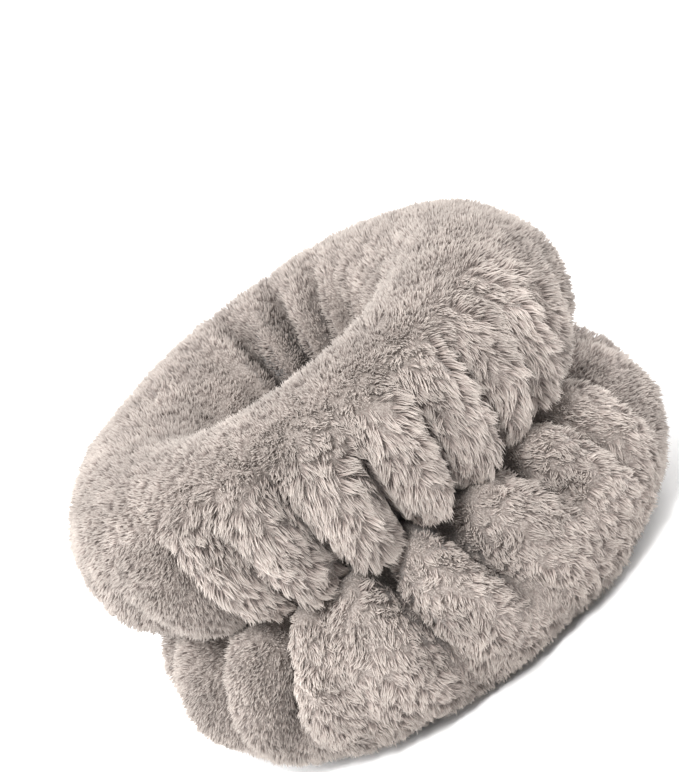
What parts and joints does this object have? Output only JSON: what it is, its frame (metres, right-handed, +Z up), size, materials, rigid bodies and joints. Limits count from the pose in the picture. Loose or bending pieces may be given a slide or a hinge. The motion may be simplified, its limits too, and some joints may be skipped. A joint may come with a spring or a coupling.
{
  "type": "plush elastic wristband",
  "caption": "Plush wristband for face washing: two soft gathered fleece rolls, one above the other, joined at a waist that holds an elastic loop.",
  "frame": {"origin": "under the middle of the hand opening, on the plane the band rests on", "axes": "+Z up along the hand opening, the band standing on its lower roll; -Y is the front, +X the wearer's right seen from the front; the side seam is on the -X side"},
  "size_m": [0.1098, 0.1037, 0.0695],
  "materials": {
    "plush_pile": "dense short plush pile, matte with a soft sheen",
    "fleece_backing": "knitted backing, matte",
    "elastic_braid": "braided elastic, matte",
    "thread": "polyester sewing thread, slight gloss"
  },
  "bodies": {
    "front": {"upper_roll_front": "plush_pile", "lower_roll_front": "plush_pile", "channel_outer_front": "plush_pile", "channel_inner_front": "plush_pile", "elastic_band": "elastic_braid", "upper_stitch_row": "thread", "lower_stitch_row": "thread", "closing_seam": "fleece_backing", "side_seam_upper": "fleece_backing", "side_seam_lower": "fleece_backing"},
    "back": {"upper_roll_back": "plush_pile", "lower_roll_back": "plush_pile", "channel_outer_back": "plush_pile", "channel_inner_back": "plush_pile", "elastic_lap_stitch": "thread"}
  },
  "joints": [
    {"name": "stretch", "type": "slide", "parent": "front", "child": "back", "axis": [0, 1, 0], "range_m": [0, 0.03], "stiffness_N_per_m": 200, "deforming": ["elastic_band", "upper_stitch_row", "lower_stitch_row", "closing_seam"]}
  ]
}
